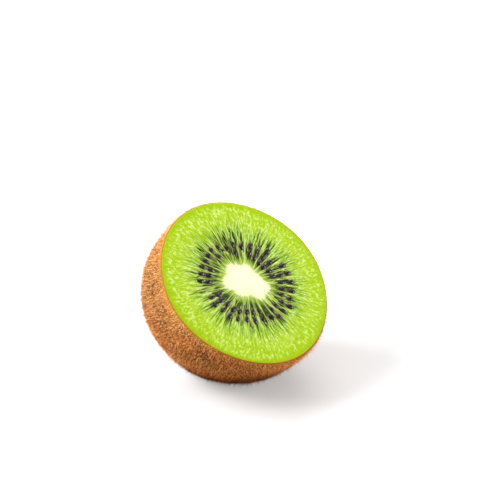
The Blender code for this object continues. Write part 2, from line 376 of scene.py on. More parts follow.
class Wiring:
    """Adds nodes to a tree and joins them."""

    def __init__(self, tree):
        self.tree = tree

    def add(self, kind, inputs=None, **settings):
        """A node with its settings, and with inputs given as values or as the sockets that feed them."""
        node = self.tree.nodes.new(kind)
        for key, value in settings.items():
            setattr(node, key, value)
        for key, value in (inputs or {}).items():
            self.feed(node.inputs[key], value)
        return node

    def feed(self, socket, value):
        """Gives an input its value, or joins it to an output."""
        if isinstance(value, bpy.types.NodeSocket):
            self.tree.links.new(value, socket)
        elif value is not None:
            socket.default_value = value

    def math(self, operation, first, second=None, clamp=False):
        """The result of a Math node."""
        node = self.add("ShaderNodeMath", operation=operation, use_clamp=clamp)
        self.feed(node.inputs[0], first)
        self.feed(node.inputs[1], second)
        return node.outputs[0]

    def plus(self, first, second, clamp=False):
        """A sum."""
        return self.math("ADD", first, second, clamp)

    def minus(self, first, second, clamp=False):
        """A difference."""
        return self.math("SUBTRACT", first, second, clamp)

    def times(self, first, second):
        """A product."""
        return self.math("MULTIPLY", first, second)

    def over(self, first, second, clamp=False):
        """A quotient."""
        return self.math("DIVIDE", first, second, clamp)

    def off_half(self, value):
        """How far a value is from a half."""
        return self.math("ABSOLUTE", self.minus(value, 0.5))

    def vector(self, operation, first, second=None, scale=None):
        """The result of a Vector Math node."""
        node = self.add("ShaderNodeVectorMath", operation=operation)
        self.feed(node.inputs[0], first)
        self.feed(node.inputs[1], second)
        self.feed(node.inputs[3], scale)
        return node.outputs[1 if operation in ("LENGTH", "DOT_PRODUCT") else 0]

    def blend(self, share, first, second, kind="MIX"):
        """A mix of two colours."""
        node = self.add("ShaderNodeMix", data_type="RGBA", blend_type=kind)
        self.feed(node.inputs[0], share)
        self.feed(node.inputs[6], first)
        self.feed(node.inputs[7], second)
        return node.outputs[2]

    def layer(self, under, colour, mask, share):
        """A colour laid over another where a mask is, up to a share."""
        return self.blend(self.times(mask, share), under, colour)

    def height_of(self, place):
        """The Z of a vector."""
        return self.add("ShaderNodeSeparateXYZ", {0: place}).outputs[2]

    def step(self, value, low, high):
        """A soft step from 0 at low to 1 at high."""
        node = self.add("ShaderNodeMapRange", {0: value, 1: low, 2: high}, interpolation_type="SMOOTHSTEP")
        return node.outputs[0]

    def noise(self, vector, scale, detail=2.0, roughness=0.5):
        """The value of a Noise Texture."""
        inputs = {"Vector": vector, "Scale": scale, "Detail": detail, "Roughness": roughness}
        return self.add("ShaderNodeTexNoise", inputs).outputs[0]

    def ramp(self, value, stops, interpolation="LINEAR"):
        """A colour read along a list of (place, linear colour) stops."""
        node = self.add("ShaderNodeValToRGB", {0: value})
        elements = node.color_ramp.elements
        while len(elements) < len(stops):
            elements.new(1.0)
        for element, (position, colour) in zip(elements, stops):
            element.position = position
            element.color = (*colour, 1.0)
        node.color_ramp.interpolation = interpolation
        return node.outputs[0]

    def colour_ramp(self, value, stops):
        """A colour read along a list of (place, screen colour) stops."""
        return self.ramp(value, [(position, linear(colour)) for position, colour in stops])


def new_material(name, values):
    """A material, its wiring and its Principled shader with the values that are the same all over."""
    material = bpy.data.materials.new(name)
    material.use_nodes = True
    material.node_tree.nodes.clear()
    wiring = Wiring(material.node_tree)
    shader = wiring.add("ShaderNodeBsdfPrincipled")
    for key, value in values.items():
        shader.inputs[key].default_value = value
    wiring.add("ShaderNodeOutputMaterial", {0: shader.outputs[0]})
    return material, wiring, shader


def fruit_millimetres(wiring):
    """Coordinates in the fruit's own frame, in millimetres."""
    place = wiring.add("ShaderNodeTexCoord").outputs["Object"]
    moves = {0: place, 1: CUT_MIDDLE, 2: (TILT, 0.0, 0.0)}
    turned = wiring.add("ShaderNodeMapping", moves, vector_type="TEXTURE")
    return wiring.vector("SCALE", turned.outputs[0], scale=1000.0)


def coloured(wiring, shader, colour, height=None, strength=0.0, distance=0.0):
    """Feeds a shader its colour, and its fine relief as a bump."""
    wiring.feed(shader.inputs["Base Color"], colour)
    if height:
        relief = {"Height": height, "Strength": strength, "Distance": distance}
        wiring.feed(shader.inputs["Normal"], wiring.add("ShaderNodeBump", relief).outputs[0])


def cut_pattern():
    """The pattern of the cut face, shared by flesh and core: its colour and the height of its fine relief."""
    colours = bpy.context.scene.kiwi_colours
    tree = bpy.data.node_groups.new("cut_pattern", "ShaderNodeTree")
    tree.interface.new_socket("Place", in_out="INPUT", socket_type="NodeSocketVector")
    tree.interface.new_socket("Colour", in_out="OUTPUT", socket_type="NodeSocketColor")
    tree.interface.new_socket("Height", in_out="OUTPUT", socket_type="NodeSocketFloat")
    w = Wiring(tree)
    place = w.add("NodeGroupInput").outputs[0]
    split = w.add("ShaderNodeSeparateXYZ", {0: place})
    x, y = split.outputs[0], split.outputs[1]
    flat = w.add("ShaderNodeCombineXYZ", {0: x, 1: y}).outputs[0]
    radius = w.vector("LENGTH", flat)
    way = w.vector("NORMALIZE", flat)
    way_parts = w.add("ShaderNodeSeparateXYZ", {0: way})

    def stretched(across, along):
        """Noise coordinates with grains drawn out along the radius: grains per radian and per millimetre."""
        parts = {
            0: w.times(way_parts.outputs[0], across),
            1: w.times(way_parts.outputs[1], across),
            2: w.times(radius, along),
        }
        return w.add("ShaderNodeCombineXYZ", parts).outputs[0]

    around = w.math("ARCTAN2", y, x)
    turns = w.math("FRACT", w.over(around, 2.0 * math.pi))
    outline = ((0.0, core_reach(0.0)), *CORE_OUTLINE, (360.0, core_reach(0.0)))
    edge_stops = [(angle / 360.0, (reach * 1000.0 / RAMP_SPAN,) * 3) for angle, reach in outline]
    reach = w.times(w.ramp(turns, edge_stops, "EASE"), RAMP_SPAN)
    beyond = w.minus(radius, reach)

    # Steps run between noise values, millimetres from the axis or the core, or shares of the half width.
    # Fibres that run out along the radius, the dark gaps between them and the short grains of the outer flesh
    threads = w.noise(stretched(24.0, 0.15), 1.0, 1.0)
    line = w.step(w.off_half(threads), 0.050, 0.020)
    line = w.times(line, w.step(radius, 8.0, 12.0))
    roots = w.noise(stretched(8.5, 0.08), 1.0, 1.0)
    root = w.step(w.off_half(roots), 0.038, 0.020)
    line = w.math("MAXIMUM", line, w.times(root, w.step(radius, 14.0, 10.5)))
    gaps = w.noise(stretched(36.0, 0.19), 1.0, 1.0)
    hairline = w.noise(stretched(58.0, 0.45), 1.0, 1.0)
    share = w.over(radius, 1000.0 * CUT_HALF_WIDTH)
    stroke = w.noise(stretched(44.0, 0.72), 1.0, 3.0, 0.62)
    flake = w.noise(stretched(34.0, 0.92), 1.0, 3.0, 0.62)
    at_rim = w.step(share, 0.76, 0.90)
    grain = w.plus(w.times(stroke, w.minus(1.0, at_rim)), w.times(flake, at_rim))
    worm = w.step(w.off_half(w.noise(place, 1.15, 1.0)), 0.050, 0.010)
    fleck = w.noise(place, 2.3, 2.0, 0.55)

    # Chambers and the pale walls between them
    sway = w.minus(w.noise(stretched(5.0, 0.22), 1.0, 2.0), 0.5)
    crowded = w.minus(around, LOCULE_TURN)
    for waves, shift, crest in LOCULE_WAVES:
        turned = w.times(w.minus(around, crest), float(waves))
        crowded = w.minus(crowded, w.times(w.math("COSINE", turned), shift))
    count = w.times(crowded, LOCULES / (2.0 * math.pi))
    count = w.plus(count, 0.5)
    count = w.plus(count, w.times(sway, 0.8))
    number = w.math("FLOORED_MODULO", w.math("FLOOR", count), float(LOCULES))
    off_middle = w.times(w.off_half(w.math("FRACT", count)), 2.0)
    luck = w.add("ShaderNodeTexWhiteNoise", {"W": number}, noise_dimensions="1D").outputs[0]
    tip = w.plus(w.times(luck, CHAMBER_TIP_LUCK), CHAMBER_TIP)
    tip = w.plus(tip, w.times(w.minus(gaps, 0.5), CHAMBER_TIP_RAGGED))
    along = w.over(beyond, w.minus(tip, reach), clamp=True)
    from_widest = w.over(w.minus(along, 0.45), 0.60)
    leaf = w.minus(1.0, w.times(from_widest, from_widest), clamp=True)
    ragged = w.plus(leaf, w.times(w.minus(gaps, 0.5), 1.8))
    chamber = w.step(w.minus(ragged, off_middle), -0.10, 0.16)
    chamber = w.times(chamber, w.step(beyond, 0.6, 2.2))
    chamber = w.times(chamber, w.step(w.minus(tip, radius), -0.3, 2.2))

    # Outer flesh
    deep = paint(colours.flesh_deep)
    pale = paint(colours.flesh_pale)
    ray = paint(colours.ray)
    outer = w.colour_ramp(share, (*INNER_FLESH, (0.74, colours.flesh), (0.90, colours.flesh), *RIM_FLESH))
    outer = w.layer(outer, deep, w.step(grain, 0.51, 0.455), 0.75)
    thin_out = w.step(share, 0.985, 0.91)
    # Pale grains and streaks of the outer flesh: partly real pale cells, partly painted wet glints
    pale_grain_and_glint = w.times(w.step(grain, 0.545, 0.59), thin_out)
    outer = w.layer(outer, pale, pale_grain_and_glint, 0.52)
    outer = w.layer(outer, pale, w.times(worm, thin_out), 0.10)
    fade_lines = w.times(line, w.step(share, 0.94, 0.56))
    outer = w.layer(outer, ray, fade_lines, 0.68)
    furrow = w.times(w.step(gaps, 0.51, 0.60), w.step(share, 0.84, 0.60))
    outer = w.layer(outer, paint(FURROW), furrow, 0.78)
    rays = w.step(off_middle, 0.78, 0.97)
    rays = w.times(rays, w.step(radius, 17.5, 12.5))
    rays = w.times(rays, w.step(hairline, 0.40, 0.58))
    outer = w.layer(outer, ray, rays, 0.80)
    # Painted highlights: small white wet glints on the outer flesh
    wet = w.times(w.step(fleck, 0.585, 0.62), w.step(grain, 0.47, 0.54))
    outer = w.layer(outer, paint(PAINTED_WET_GLINT), w.times(wet, thin_out), 0.38)

    # Inside the chambers
    jelly = w.colour_ramp(along, (*JELLY_ROOT, (0.74, colours.jelly), (1.0, JELLY_TIP)))
    jelly = w.layer(jelly, paint(JELLY_FIBRE), w.step(hairline, 0.49, 0.57), 0.8)
    # Pale fibre walls in the chambers, partly painted wet glints
    glint = w.math("MAXIMUM", line, w.times(w.step(threads, 0.66, 0.70), w.step(gaps, 0.44, 0.50)))
    jelly = w.layer(jelly, paint(JELLY_GLINT), glint, 0.80)
    surface = w.blend(chamber, outer, jelly)

    # The core, feathered into the rays
    feather = w.times(w.minus(hairline, 0.5), 3.6)
    feather = w.plus(feather, w.times(line, 0.9))
    inner = w.minus(beyond, feather)
    near_core = w.step(inner, 1.1, -0.3)
    surface = w.layer(surface, paint(CORE_FRINGE), near_core, 0.60)
    core = w.blend(w.step(grain, 0.40, 0.75), paint(colours.core), paint(CORE_FIBRE))
    core = w.layer(core, paint(CORE_EDGE), w.step(inner, -2.6, -0.4), 0.5)
    surface = w.blend(w.step(inner, 0.0, -0.6), surface, core)

    # Height of the fine relief
    height = w.plus(w.times(grain, 0.8), w.times(threads, 0.8))
    height = w.plus(height, w.times(fleck, 0.9))
    height = w.minus(height, w.times(chamber, 0.4))
    height = w.times(height, w.step(inner, -2.0, 1.0))
    fibres = w.times(hairline, w.step(radius, 0.3, 2.4))
    height = w.plus(height, w.times(fibres, 0.4))
    output = w.add("NodeGroupOutput")
    w.feed(output.inputs[0], surface)
    w.feed(output.inputs[1], height)
    return tree


def cut_finish(w, shader, strength, distance):
    """Feeds a shader the cut pattern's colour and relief."""
    pattern = w.add("ShaderNodeGroup", node_tree=bpy.data.node_groups.get("cut_pattern") or cut_pattern())
    w.feed(pattern.inputs[0], fruit_millimetres(w))
    coloured(w, shader, pattern.outputs[0], pattern.outputs[1], strength, distance)


def flesh_material():
    """Wet, juicy flesh that lets light in."""
    material, w, shader = new_material("wet_flesh", {
        "Roughness": 0.28,
        "Specular IOR Level": 0.08,
        "Subsurface Weight": 0.03,
        "Subsurface Radius": (0.0008, 0.0009, 0.0003),
        "Subsurface Scale": 1.0,
        "Coat Weight": 0.06,
        "Coat Roughness": 0.08,
    })
    cut_finish(w, shader, 0.70, 0.00030)
    return material


def core_material():
    """Pale, moist and finely fibrous."""
    material, w, shader = new_material("pale_core", {
        "Roughness": 0.45,
        "Subsurface Weight": 0.25,
        "Subsurface Radius": (0.0014, 0.0013, 0.0009),
        "Subsurface Scale": 1.0,
    })
    cut_finish(w, shader, 0.35, 0.00015)
    return material


def seed_material():
    """Glossy and nearly black, with a fine grain and a thin wet coat."""
    material, w, shader = new_material("seed_coat", {
        "Roughness": 0.17,
        "Specular IOR Level": 0.36,
        "Coat Weight": 0.10,
        "Coat Roughness": 0.10,
    })
    place = fruit_millimetres(w)
    grain = w.noise(place, 2.4, 2.0)
    dark = paint(bpy.context.scene.kiwi_colours.seed)
    tone = w.blend(w.step(grain, 0.50, 0.60), dark, paint(SEED_BROWN))
    coloured(w, shader, tone, w.noise(place, 4.0, 2.0), 0.6, 0.00010)
    return material


def shaded_low(w, colour):
    """A colour that is deeper towards the table, as painted shade by height above it."""
    place = w.add("ShaderNodeTexCoord").outputs["Object"]
    height = w.height_of(place)
    depth = w.colour_ramp(w.over(height, LOW_SHADE_HEIGHT), LOW_SHADE)
    return w.blend(1.0, colour, depth, "MULTIPLY")


def skin_material():
    """Thin dull brown skin, mottled, with fine dark and pale spots, painted light under the cut's edge, a
    thin lip at the cut and painted shade towards the table.
    """
    material, w, shader = new_material("brown_skin", {
        "Roughness": 0.80,
        "Specular IOR Level": 0.06,
    })
    place = fruit_millimetres(w)
    colours = bpy.context.scene.kiwi_colours
    broad = w.noise(place, 0.16, 3.0)
    clump = w.noise(place, 3.4, 2.0, 0.6)
    fine = w.noise(place, 3.2, 2.0, 0.6)
    tone = w.blend(w.step(broad, 0.35, 0.65), paint(colours.skin_dark), paint(colours.skin))
    tone = w.layer(tone, paint(SKIN_DARK_SPOT), w.step(clump, 0.50, 0.40), 0.7)
    tone = w.layer(tone, paint(SKIN_PALE_SPOT), w.step(fine, 0.50, 0.65), 0.5)
    depth = w.times(w.height_of(place), -1.0)
    # Painted light: the skin just under the cut's edge is lightened where it lies in its own shade
    painted_rim_light = w.times(w.step(depth, 3.0, 0.4), 0.55)
    tone = w.blend(painted_rim_light, tone, paint(SKIN_PAINTED_RIM_LIGHT))
    lip = w.times(w.step(depth, 0.40, 0.20), w.plus(w.times(w.step(fine, 0.35, 0.60), 0.5), 0.25))
    tone = w.blend(lip, tone, paint(SKIN_LIP))
    coloured(w, shader, shaded_low(w, tone), w.plus(clump, fine), 0.6, 0.00020)
    return material


def down_material():
    """Dry hairs from dark brown to sandy, each of its own tone, in loose clumps of like tone, made paler
    under the cut's edge as painted light and darker towards the table as painted shade.
    """
    material, w, shader = new_material("dry_down", {
        "Roughness": 0.60,
        "Specular IOR Level": 0.08,
    })
    colours = bpy.context.scene.kiwi_colours
    place = fruit_millimetres(w)
    clump = w.noise(place, 3.4, 2.0, 0.6)
    tone = w.add("ShaderNodeAttribute", attribute_name="tone").outputs["Fac"]
    tone = w.plus(tone, w.times(w.minus(clump, 0.5), 2.4))
    depth = w.times(w.height_of(place), -1.0)
    # Painted light: hairs just under the cut's edge are made paler where they lie in shade
    tone = w.plus(tone, w.times(w.step(depth, 8.0, 1.5), 0.28))
    shade = w.blend(w.step(tone, 0.16, 0.62), paint(colours.down_dark), paint(colours.down))
    coloured(w, shader, shaded_low(w, shade))
    return material


def scar_material():
    """Dry, dark and crusted."""
    material, w, shader = new_material("dry_scar", {
        "Roughness": 0.85,
    })
    place = fruit_millimetres(w)
    crust = w.noise(place, 1.8, 4.0, 0.65)
    coloured(w, shader, w.colour_ramp(crust, SCAR_CRUST), crust, 0.8, 0.0003)
    return material


def geometry_tree(name, inputs):
    """A Geometry Nodes tree with named inputs, its wiring, its input node and its output node."""
    tree = bpy.data.node_groups.new(name, "GeometryNodeTree")
    tree.interface.new_socket("Geometry", in_out="INPUT", socket_type="NodeSocketGeometry")
    tree.interface.new_socket("Geometry", in_out="OUTPUT", socket_type="NodeSocketGeometry")
    for label, kind in inputs:
        tree.interface.new_socket(label, in_out="INPUT", socket_type="NodeSocket" + kind)
    w = Wiring(tree)
    return tree, w, w.add("NodeGroupInput").outputs, w.add("NodeGroupOutput")


def grown(name, mesh, tree, values):
    """The plain mesh that a Geometry Nodes tree makes from a mesh."""
    host = new_object(name, mesh)
    modifier = host.modifiers.new("grow", "NODES")
    modifier.node_group = tree
    for socket in tree.interface.items_tree:
        if socket.in_out == "INPUT" and socket.name in values:
            modifier[socket.identifier] = values[socket.name]
    bpy.context.view_layer.update()
    graph = bpy.context.evaluated_depsgraph_get()
    result = bpy.data.meshes.new_from_object(host.evaluated_get(graph))
    bpy.data.objects.remove(host)
    result.name = name
    return result


def down_tree():
    """Hairs spread over a surface: thin bent cones that stand out from it and lean towards the round end."""
    tree, w, given, out = geometry_tree("down", (
        ("Density", "Float"),
        ("Length", "Float"),
        ("Thickness", "Float"),
        ("Segments", "Int"),
        ("Lean", "Vector"),
        ("Spread", "Float"),
        ("Seed", "Int"),
        ("Finish", "Material"),
    ))
    place = w.add("GeometryNodeInputPosition").outputs[0]
    height = w.height_of(place)
    clear = w.add("FunctionNodeCompare", {0: height, 1: DOWN_LOWEST}, operation="GREATER_THAN")
    axis = tuple(FRUIT_PLACE.to_3x3() @ Vector((0.0, 0.0, 1.0)))
    level = w.vector("DOT_PRODUCT", w.vector("SUBTRACT", place, tuple(CUT_MIDDLE)), axis)
    density = w.times(given["Density"], w.plus(DOWN_AT_CUT, w.times(level, DOWN_THICKENING), clamp=True))
    spread = w.add("GeometryNodeDistributePointsOnFaces", {
        "Mesh": given["Geometry"], "Selection": clear.outputs[0], "Density": density, "Seed": given["Seed"],
    })
    seed = given["Seed"]
    wild = w.add("FunctionNodeRandomValue", {0: (-1.0, -1.0, -1.0), 1: (1.0, 1.0, 1.0), "Seed": seed},
                 data_type="FLOAT_VECTOR").outputs[0]
    wild = w.vector("SCALE", wild, scale=given["Spread"])
    way = w.vector("ADD", w.vector("ADD", spread.outputs["Normal"], given["Lean"]), wild)
    turn = w.add("FunctionNodeAlignRotationToVector", {"Vector": way}, axis="Z").outputs[0]
    spin = w.add("FunctionNodeRandomValue", {0: (0.0, 0.0, 0.0), 1: (0.0, 0.0, HAIR_SPIN), "Seed": seed},
                 data_type="FLOAT_VECTOR").outputs[0]
    turn = w.add("FunctionNodeRotateRotation", {0: turn, 1: spin}, rotation_space="LOCAL").outputs[0]
    size = w.add("FunctionNodeRandomValue", {**HAIR_SIZES, "Seed": seed}, data_type="FLOAT").outputs[1]
    cone = w.add("GeometryNodeMeshCone", {
        "Vertices": 3, "Side Segments": given["Segments"], "Radius Top": 0.0,
        "Radius Bottom": given["Thickness"], "Depth": given["Length"],
    }, fill_type="NGON").outputs[0]
    up = w.over(w.height_of(place), given["Length"])
    lean = w.times(w.times(up, up), w.times(given["Length"], HAIR_BEND))
    offset = w.add("ShaderNodeCombineXYZ", {0: lean}).outputs[0]
    hair = w.add("GeometryNodeSetPosition", {"Geometry": cone, "Offset": offset}).outputs[0]
    hairs = w.add("GeometryNodeInstanceOnPoints", {
        "Points": spread.outputs["Points"], "Instance": hair, "Rotation": turn, "Scale": size,
    }).outputs[0]
    luck = w.add("FunctionNodeRandomValue", {"Seed": HAIR_TONE_SEED}).outputs[1]
    toned = w.add("GeometryNodeStoreNamedAttribute", {"Geometry": hairs, "Name": "tone", "Value": luck},
                  data_type="FLOAT", domain="INSTANCE").outputs[0]
    real = w.add("GeometryNodeRealizeInstances", {0: toned}).outputs[0]
    parts = w.add("ShaderNodeSeparateXYZ", {0: place})
    lifted = w.math("MAXIMUM", parts.outputs[2], TABLE_CLEARANCE)
    above = w.add("ShaderNodeCombineXYZ", {0: parts.outputs[0], 1: parts.outputs[1], 2: lifted}).outputs[0]
    settled = w.add("GeometryNodeSetPosition", {"Geometry": real, "Position": above}).outputs[0]
    dressed = w.add("GeometryNodeSetMaterial", {"Geometry": settled, "Material": given["Finish"]}).outputs[0]
    w.feed(out.inputs[0], dressed)
    return tree


def seeds_tree():
    """A seed on every point, turned and sized by the point's own values."""
    tree, w, given, out = geometry_tree("seeds", (
        ("Seed shape", "Object"),
        ("Finish", "Material"),
    ))
    shape = w.add("GeometryNodeObjectInfo", {"Object": given["Seed shape"]}).outputs["Geometry"]
    turn = w.add("GeometryNodeInputNamedAttribute", {"Name": "turn"}, data_type="FLOAT_VECTOR").outputs[0]
    size = w.add("GeometryNodeInputNamedAttribute", {"Name": "size"}, data_type="FLOAT").outputs[0]
    points = w.add("GeometryNodeMeshToPoints", {"Mesh": given["Geometry"]}).outputs[0]
    placed = w.add("GeometryNodeInstanceOnPoints", {
        "Points": points, "Instance": shape, "Rotation": turn, "Scale": size,
    }).outputs[0]
    real = w.add("GeometryNodeRealizeInstances", {0: placed}).outputs[0]
    dressed = w.add("GeometryNodeSetMaterial", {"Geometry": real, "Material": given["Finish"]}).outputs[0]
    w.feed(out.inputs[0], dressed)
    return tree


# Pieces

def socket_rings(turns, rings, gap):
    """Rings down the wall of the core's socket, listed from its deep end up to the cut."""
    result = []
    for row in range(1, rings + 1):
        turn = QUARTER_TURN * (1.0 - row / rings)
        ring = []
        for angle in angles_round(turns):
            height = -CORE_DEPTH * math.sin(turn) ** (2.0 / CORE_POWER)
            kept = 1.0 - (1.0 - CORE_LOBES_KEPT) * (-height / CORE_DEPTH)
            lobes = 1.0 + (core_reach(angle) / CORE_RADIUS - 1.0) * kept
            radius = CORE_RADIUS * max(0.0, math.cos(turn)) ** (2.0 / CORE_POWER) * lobes
            ring.append(polar(angle, radius + gap, height - gap))
        result.append(ring)
    return result


def face_height(angle, radius, relief):
    """Height of the finished cut face: the solids' relief, with fine ridges and juicy grains."""
    height = face_relief(angle, radius)
    wall = (1.0 - math.cos(locule_phase(angle))) / 2.0
    near = math.exp(-((radius - LOCULE_MIDDLE) / (LOCULE_SPREAD * 1.2)) ** 2)
    height += relief * 0.9 * near * wall ** 4
    for share, across, along in FACE_GRAINS:
        height += relief * share * fibre_noise(angle, radius, across, along)
    return height


def flesh_mesh(relief):
    """The flesh as one closed body: socket, cut face and the underside that the skin covers."""
    rings = socket_rings(FACE_TURNS, FACE_SOCKET_RINGS, 0.0)[:-1]
    inner_edge = RIM_RADIUS - SKIN_THICKNESS
    angles = angles_round(FACE_TURNS)
    for row in range(FACE_RINGS + 1):
        ring = []
        for angle in angles:
            start = core_reach(angle)
            radius = start + (inner_edge * rim_factor(angle) - start) * row / FACE_RINGS
            edge = min(1.0, (FACE_RINGS - row) / 4.0) * min(1.0, row / 3.0)
            ring.append(polar(angle, radius, face_height(angle, radius, relief * edge)))
        rings.append(ring)
    for row in range(1, UNDERSIDE_RINGS):
        turn = QUARTER_TURN * row / UNDERSIDE_RINGS
        rings.append([polar(angle, *dome_point(angle, turn, SKIN_THICKNESS)) for angle in angles])
    first = (0.0, 0.0, -CORE_DEPTH)
    last = (0.0, 0.0, -HALF_LENGTH + SKIN_THICKNESS)
    mesh = closed_rings("flesh_cut", rings, first, last)
    mesh.transform(FRUIT_PLACE)
    rest_on_table(mesh)
    return mesh


def core_mesh(relief):
    """The core as one closed column that fills its socket."""
    angles = angles_round(CORE_TURNS)
    rings = []
    for row in range(1, CORE_CROWN_RINGS + 1):
        share = row / CORE_CROWN_RINGS
        ring = []
        for angle in angles:
            radius = (core_reach(angle) - CORE_SLACK) * share
            crown = CORE_CROWN * (1.0 - share ** 2)
            fade = min(1.0, share / 0.3) ** 2 * (1.0 - share ** 6)
            grain = relief * 0.4 * fibre_noise(angle, radius, 1800.0, 900.0) * fade
            ring.append(polar(angle, radius, crown + grain))
        rings.append(ring)
    sides = socket_rings(CORE_TURNS, CORE_SIDE_RINGS, -CORE_SLACK)[:-1]
    rings.extend(reversed(sides))
    first = (0.0, 0.0, CORE_CROWN)
    last = (0.0, 0.0, -CORE_DEPTH + CORE_SLACK)
    mesh = closed_rings("core_cut", rings, first, last)
    mesh.transform(FRUIT_PLACE)
    return mesh


def skin_mesh():
    """The skin as a thin closed shell, uneven and finely wrinkled."""
    angles = angles_round(SKIN_TURNS)
    inner = []
    for row in range(1, SKIN_INNER_RINGS + 1):
        turn = QUARTER_TURN * (1.0 - row / SKIN_INNER_RINGS)
        inner.append([polar(angle, *dome_point(angle, turn, SKIN_INSET)) for angle in angles])
    lip = []
    for step in range(SKIN_LIP_RINGS + 1):
        share = step / SKIN_LIP_RINGS
        ring = []
        for angle in angles:
            turn = QUARTER_TURN * share
            out = RIM_RADIUS - SKIN_INSET + SKIN_INSET * math.sin(turn)
            drop = -RIM_ROUNDING * 0.8 * (1.0 - math.cos(turn))
            wander = 0.00007 * noise.noise(Vector((math.cos(angle) * 14.0, math.sin(angle) * 14.0, 3.0)))
            ring.append(polar(angle, out * rim_factor(angle) + wander * share, drop))
        lip.append(ring)
    outer = []
    for row in range(SKIN_RINGS):
        turn = QUARTER_TURN * row / SKIN_RINGS
        ring = []
        for angle in angles:
            radius, height = dome_point(angle, turn)
            point = Vector(polar(angle, radius, height))
            wrinkle = sum(depth * noise.noise(point * grains) for depth, grains in SKIN_WRINKLES)
            point *= 1.0 + wrinkle / RIM_RADIUS * min(1.0, row / 6.0)
            ring.append(tuple(point))
        outer.append(ring)
    first = (0.0, 0.0, -HALF_LENGTH + SKIN_INSET)
    last = (0.0, 0.0, -HALF_LENGTH)
    mesh = closed_rings("skin_shell", inner + lip + outer, first, last)
    mesh.transform(FRUIT_PLACE)
    rest_on_table(mesh)
    return mesh


def skin_surface():
    """The skin's outer side alone, for the down to grow on."""
    turns, rings = 96, 40
    angles = angles_round(turns)
    points = [polar(angle, RIM_RADIUS * rim_factor(angle), -RIM_ROUNDING * 0.3) for angle in angles]
    for row in range(rings + 1):
        turn = QUARTER_TURN * (row + 0.02) / (rings + 0.3)
        points.extend(polar(angle, *dome_point(angle, turn)) for angle in angles)
    faces = []
    for row in range(rings + 1):
        for i in range(turns):
            j = (i + 1) % turns
            faces.append((row * turns + i, (row + 1) * turns + i, (row + 1) * turns + j, row * turns + j))
    mesh = bpy.data.meshes.new("down_ground")
    mesh.from_pydata(points, [], faces)
    mesh.transform(FRUIT_PLACE)
    return mesh


def seed_shape():
    """One seed at full size along X, round at one end and drawn to a point at the other."""
    turns, rings = 16, 11
    rows = []
    for row in range(1, rings):
        turn = math.pi * row / rings
        along = math.cos(turn)
        girth = math.sin(turn) * (1.0 + SEED_TAPER * min(0.0, along))
        ring = []
        for angle in angles_round(turns):
            y = math.cos(angle) * girth * SEED_WIDTH / 2.0
            z = math.sin(angle) * girth * SEED_THICKNESS / 2.0
            ring.append((along * SEED_LENGTH / 2.0, y, z))
        rows.append(ring)
    first = (SEED_LENGTH / 2.0, 0.0, 0.0)
    last = (-SEED_LENGTH / 2.0, 0.0, 0.0)
    return closed_rings("seed_shape", rows, first, last)


def seeds_mesh(finish):
    """All the seeds, sunk in the cut face."""
    places = seed_places()
    points = []
    turns = []
    for angle, distance, swing, size in places:
        sunk = SEED_RISE - SEED_THICKNESS / 2.0 * size + face_relief(angle, distance)
        points.append(polar(angle, distance, sunk))
        turns.extend((0.0, 0.0, angle + swing))
    mesh = bpy.data.meshes.new("seed_places")
    mesh.from_pydata(points, [], [])
    mesh.attributes.new("turn", "FLOAT_VECTOR", "POINT").data.foreach_set("vector", turns)
    mesh.attributes.new("size", "FLOAT", "POINT").data.foreach_set("value", [place[3] for place in places])
    shape = new_object("seed_shape", seed_shape())
    result = grown("seeds", mesh, seeds_tree(), {"Seed shape": shape, "Finish": finish})
    bpy.data.objects.remove(shape)
    result.transform(FRUIT_PLACE)
    result.shade_smooth()
    return result


def scar_mesh():
    """A low crusted button at the round end, with a ragged edge."""
    turns, rings = 72, 14
    rows = []
    for row in range(1, rings + 1):
        share = row / rings
        ring = []
        for angle in angles_round(turns):
            ragged = 1.0 + 0.16 * noise.noise(Vector((math.cos(angle) * 3.0, math.sin(angle) * 3.0, 0.0)))
            radius = SCAR_RADIUS * share * ragged
            crust = noise.noise(Vector((math.cos(angle) * radius, math.sin(angle) * radius, 0.0)) * 1800.0)
            height = -HALF_LENGTH - SCAR_HEIGHT * (1.0 - share ** 2.5) * (1.0 + 0.35 * crust)
            ring.append(polar(-angle, radius, height if row < rings else -HALF_LENGTH + 0.0006))
        rows.append(ring)
    first = (0.0, 0.0, -HALF_LENGTH - SCAR_HEIGHT)
    last = (0.0, 0.0, -HALF_LENGTH + 0.0010)
    mesh = closed_rings("scar", rows, first, last)
    mesh.transform(FRUIT_PLACE)
    rest_on_table(mesh)
    return mesh


# Settings

def colour_setting(name, description, default):
    """A screen colour that a user may change."""
    return FloatVectorProperty(
        name=name, description=description, subtype="COLOR_GAMMA", size=3, min=0.0, max=1.0, default=default)


def length_setting(name, description, default, low, high):
    """A length that a user may change."""
    return FloatProperty(
        name=name, description=description, subtype="DISTANCE", precision=6, default=default, min=low,
        max=high)


class KiwiColours(bpy.types.PropertyGroup):
    """Colours of the fruit, as they look on a screen."""

    flesh: colour_setting("Flesh", "Bright outer flesh", (0.67, 0.785, 0.0))
    flesh_deep: colour_setting("Deep flesh", "Flesh under the skin and between grains", (0.57, 0.735, 0.0))
    flesh_pale: colour_setting("Pale flesh", "Pale grains of the outer flesh", (0.86, 0.94, 0.58))
    ray: colour_setting("Rays", "Walls between the seed chambers", (0.85, 0.94, 0.48))
    jelly: colour_setting("Jelly", "Clear dark green round the seeds", (0.14, 0.22, 0.03))
    core: colour_setting("Core", "Pale middle", (0.955, 0.97, 0.80))
    seed: colour_setting("Seed", "Coat of the seeds", (0.03, 0.01, 0.01))
    skin: colour_setting("Skin", "Lighter brown of the skin", (0.57, 0.35, 0.15))
    skin_dark: colour_setting("Dark skin", "Darker brown of the skin", (0.36, 0.20, 0.07))
    down: colour_setting("Down", "Lightest hairs", (1.0, 0.79, 0.52))
    down_dark: colour_setting("Dark down", "Darkest hairs", (0.40, 0.20, 0.03))


